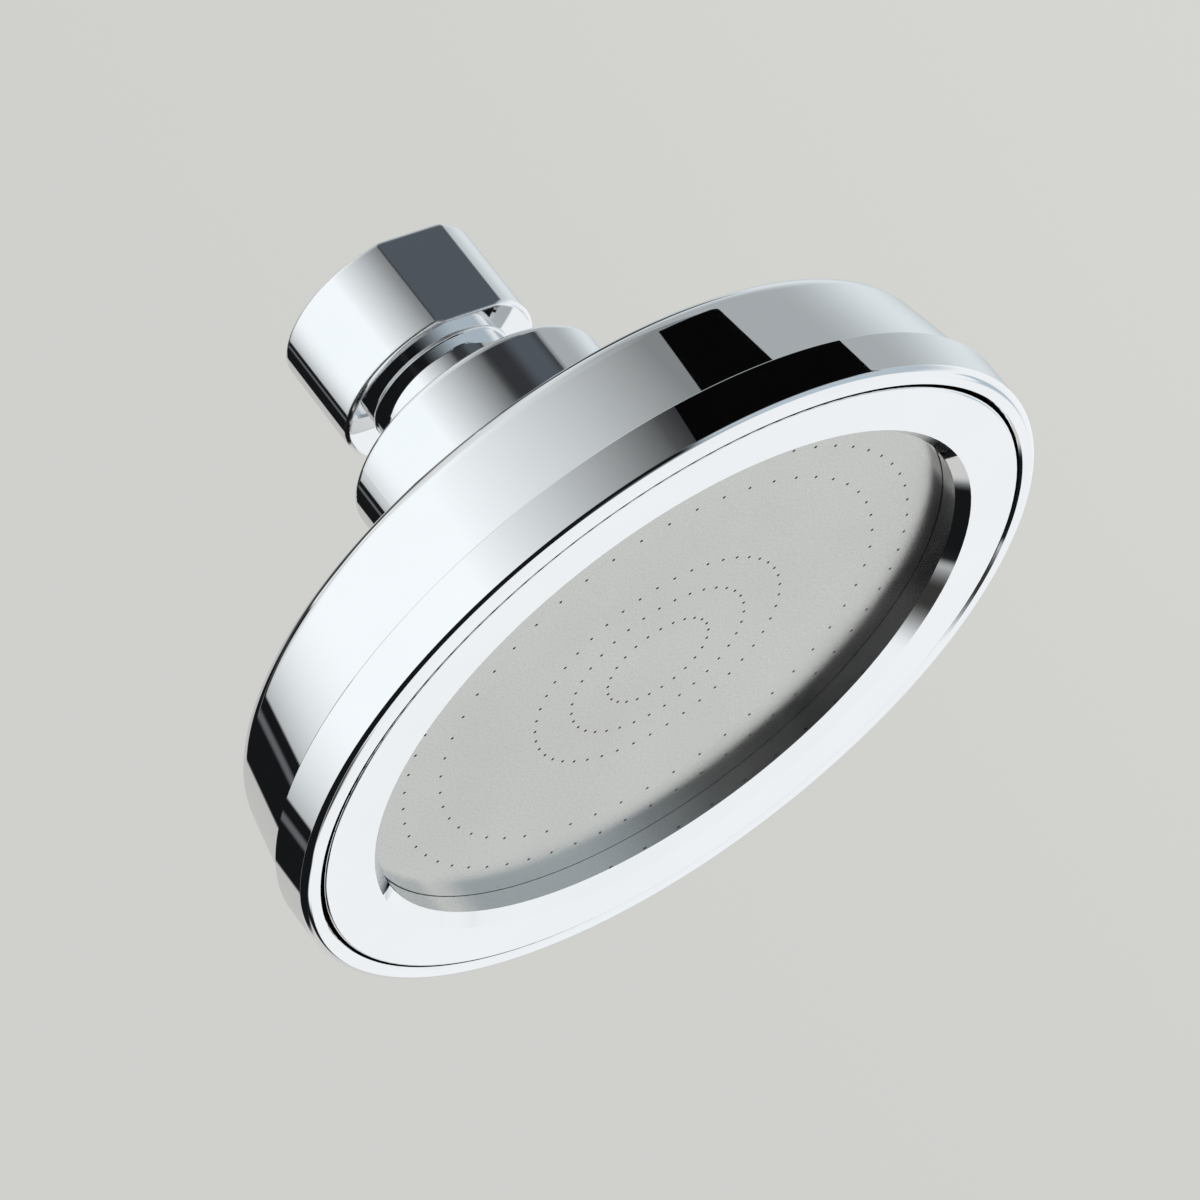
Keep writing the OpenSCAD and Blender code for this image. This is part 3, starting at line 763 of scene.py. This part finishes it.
# Painted shade: the punched walls of the holes and the plate's edge under the ring are painted near black, as shade
# inside the holes and a shadow line under the ring.
plate_radius, plate_height = around(plate_tree)
facing_out = plate_tree.nodes.new("ShaderNodeSeparateXYZ")
plate_place = plate_tree.nodes.new("ShaderNodeTexCoord")
plate_tree.links.new(plate_place.outputs["Normal"], facing_out.inputs[0])
hole_wall_shade = worked(plate_tree, "LESS_THAN", worked(plate_tree, "ABSOLUTE", facing_out.outputs["Z"]), 0.6)
under_ring_shadow = worked(plate_tree, "GREATER_THAN", plate_radius, 0.03990)
painted_shade_share = worked(plate_tree, "MAXIMUM", hole_wall_shade, under_ring_shadow)
plate_colour = plate_shader.inputs["Base Color"].links[0].from_socket
plate_tree.links.new(
    blended(plate_tree, painted_shade_share, plate_colour, (0.012, 0.012, 0.012)), plate_shader.inputs["Base Color"]
)
dressed(plate_steel, "face_plate")

# The front ring is moulded and chrome plated like the shell. It screws in
# behind the lip and holds the spray plate.
ring_chrome = chrome(
    "chrome plated ring", (0.862, 0.868, 0.874), (0.886, 0.890, 0.894), 0.016, 0.040, 60.0, 0.000006
)
# Painted shade in the groove on the ring's edge.
painted_groove_shade(ring_chrome)
dressed(ring_chrome, "front_ring")

# The ball joint's seats are acetal, and its seals are rubber: an O-ring and a
# lower seat in the well, a cup gasket under the ball and a ring over it.
dressed(rubber, "seat_o_ring", "ball_gasket")
dressed(acetal, "lower_ball_seat", "upper_ball_ring")

# The stem is one turned brass part, polished and plated: ball, neck and shank.
# The collar is turned too, and screws over the well to hold the ball.
plated_brass = chrome(
    "chrome plated brass", (0.852, 0.860, 0.868), (0.876, 0.882, 0.888), 0.020, 0.050, 110.0, 0.000004
)
dressed(plated_brass, "ball_stem", "ball_collar")

# The stem's neck runs into the nut's face in a small turned fillet.
NECK_RADIUS = 0.0091
NECK_TOP = 0.0487
FILLET_RADIUS = 0.00032
FILLET_SINK = 0.00006
FILLET_STEPS = 160
fillet_centre = (NECK_RADIUS + FILLET_RADIUS, NECK_TOP - FILLET_RADIUS)
fillet_outline = arc(fillet_centre, FILLET_RADIUS, math.pi, math.pi / 2.0, 8)
fillet_outline += [
    (NECK_RADIUS + FILLET_RADIUS, NECK_TOP + FILLET_SINK),
    (NECK_RADIUS - FILLET_SINK, NECK_TOP + FILLET_SINK),
    (NECK_RADIUS - FILLET_SINK, NECK_TOP - FILLET_RADIUS),
]
fillet_points, fillet_faces = turned(fillet_outline, FILLET_STEPS)
neck_fillet = built("neck_fillet", fillet_points, fillet_faces, plated_brass)
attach(neck_fillet, "inlet")

# The inlet nut is turned from brass bar, milled with two wrench flats, broken
# along its edges and plated. Its O-ring sits round the stem's shank.
nut_chrome = chrome(
    "chrome plated nut", (0.852, 0.860, 0.868), (0.876, 0.882, 0.888), 0.020, 0.045, 110.0, 0.000004
)
broken_edge = nut_chrome.node_tree.nodes.new("ShaderNodeBevel")
broken_edge.samples = 8
broken_edge.inputs["Radius"].default_value = 0.00045
nut_bump = nut_chrome.node_tree.nodes["Bump"]
nut_chrome.node_tree.links.new(broken_edge.outputs["Normal"], nut_bump.inputs["Normal"])
dressed(nut_chrome, "inlet_nut")
dressed(rubber, "stem_o_ring")

# The pipe thread is cut inside the nut's mouth. The CAD wall is its largest
# radius, and the ridge stands in from it.
PIPE_THREAD_SIZES = {
    "Wall radius": 0.0105,
    "Crest radius": 0.00932,
    "Pitch": 0.001814,
    "Length": 0.0045,
    "Base height": 0.0564,
}
thread_tree, thread_size = new_tree("pipe thread", PIPE_THREAD_SIZES)
thread_ridge = ridge(
    thread_tree, thread_size["Wall radius"], thread_size["Crest radius"], thread_size["Pitch"],
    thread_size["Length"], thread_size["Base height"], True
)
ended(thread_tree, thread_ridge, plated_brass)
pipe_thread = baked("pipe_thread", thread_tree, PIPE_THREAD_SIZES)
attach(pipe_thread, "inlet")

# The flow regulator is a small moulded cartridge in blue plastic with its own
# O-ring. The steel screen and the rubber washer lie over it in the mouth.
blue, blue_tree, blue_shader = finish("blue cartridge")
blue_tone = between(blue_tree, grain(blue_tree, 220.0, 3.0), 0.0, 1.0)
blue_tree.links.new(
    blended(blue_tree, blue_tone, (0.075, 0.255, 0.49), (0.11, 0.325, 0.585)), blue_shader.inputs["Base Color"]
)
blue_tree.links.new(between(blue_tree, grain(blue_tree, 1200.0), 0.26, 0.38), blue_shader.inputs["Roughness"])
relief(blue_tree, blue_shader, grain(blue_tree, 2200.0, 2.0), 0.000008)
dressed(blue, "flow_regulator")
dressed(steel, "filter_screen")
dressed(rubber, "regulator_o_ring", "inlet_washer")
